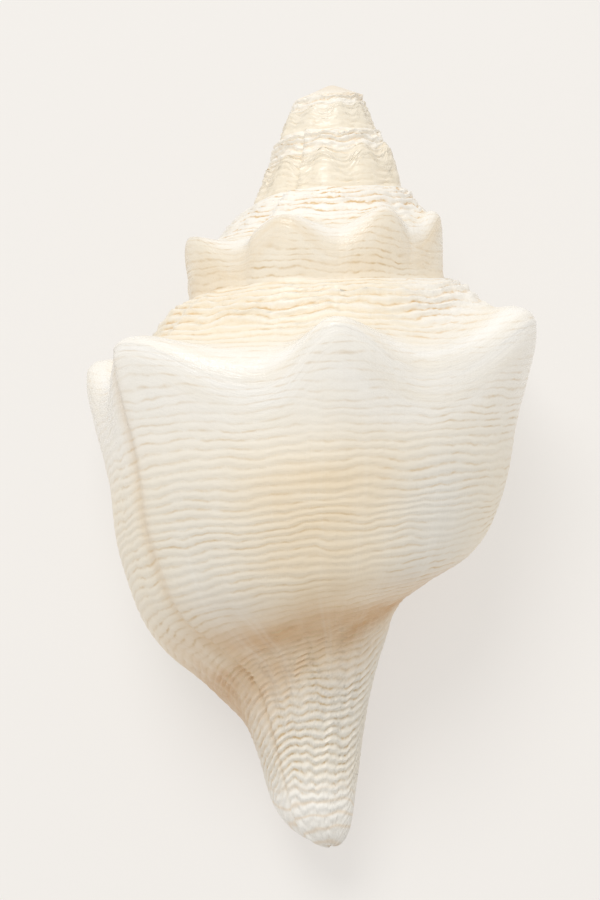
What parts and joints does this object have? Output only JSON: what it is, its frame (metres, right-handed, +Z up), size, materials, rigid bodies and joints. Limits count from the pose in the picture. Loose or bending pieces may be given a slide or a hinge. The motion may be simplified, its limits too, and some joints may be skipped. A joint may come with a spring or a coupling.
{
  "type": "conch shell",
  "caption": "Heavy cream-white spiral sea shell with a knobbed shoulder, stepped spire and tapering canal, lying on its open mouth.",
  "frame": {"origin": "middle of the bounding box's base, on the surface that the shell lies on", "axes": "+Y along the shell towards the spire, +Z up out of its back, +X to the right of someone who looks down on its back with the spire away from them"},
  "size_m": [0.1462, 0.2354, 0.1238],
  "materials": {
    "shell": "satin"
  },
  "bodies": {
    "root": {"shell": "shell"}
  },
  "joints": []
}
